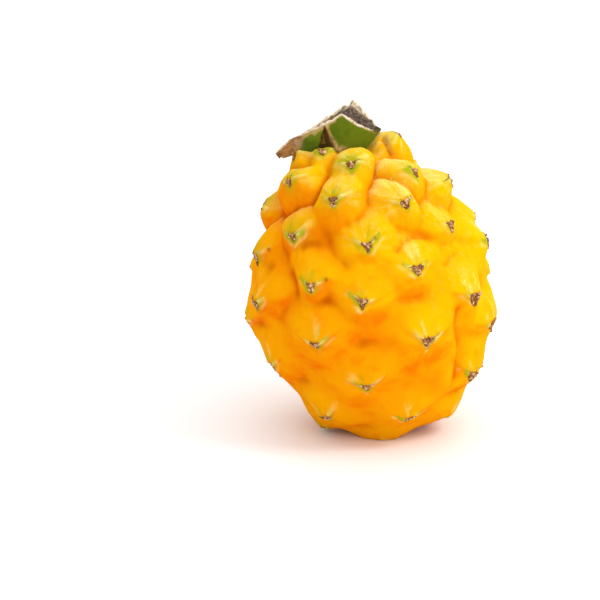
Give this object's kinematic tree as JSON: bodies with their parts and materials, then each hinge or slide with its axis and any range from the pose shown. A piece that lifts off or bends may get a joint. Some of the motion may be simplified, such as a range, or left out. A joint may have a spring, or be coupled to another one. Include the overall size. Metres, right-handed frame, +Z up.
{
  "type": "yellow dragon fruit",
  "caption": "Whole yellow-skinned dragon fruit with knobbly tubercles, dried areoles and a chunk of cut cactus stem on top.",
  "frame": {"origin": "on the floor, under the middle of the fruit's bounding box", "axes": "+Z up from the flower end to the stem, -Y towards the viewer, the fruit leans towards -X"},
  "size_m": [0.081, 0.0796, 0.107],
  "materials": {
    "rind": "waxy satin",
    "stem": "matte"
  },
  "bodies": {
    "root": {"fruit": "rind", "stem_stub": "stem"}
  },
  "joints": []
}
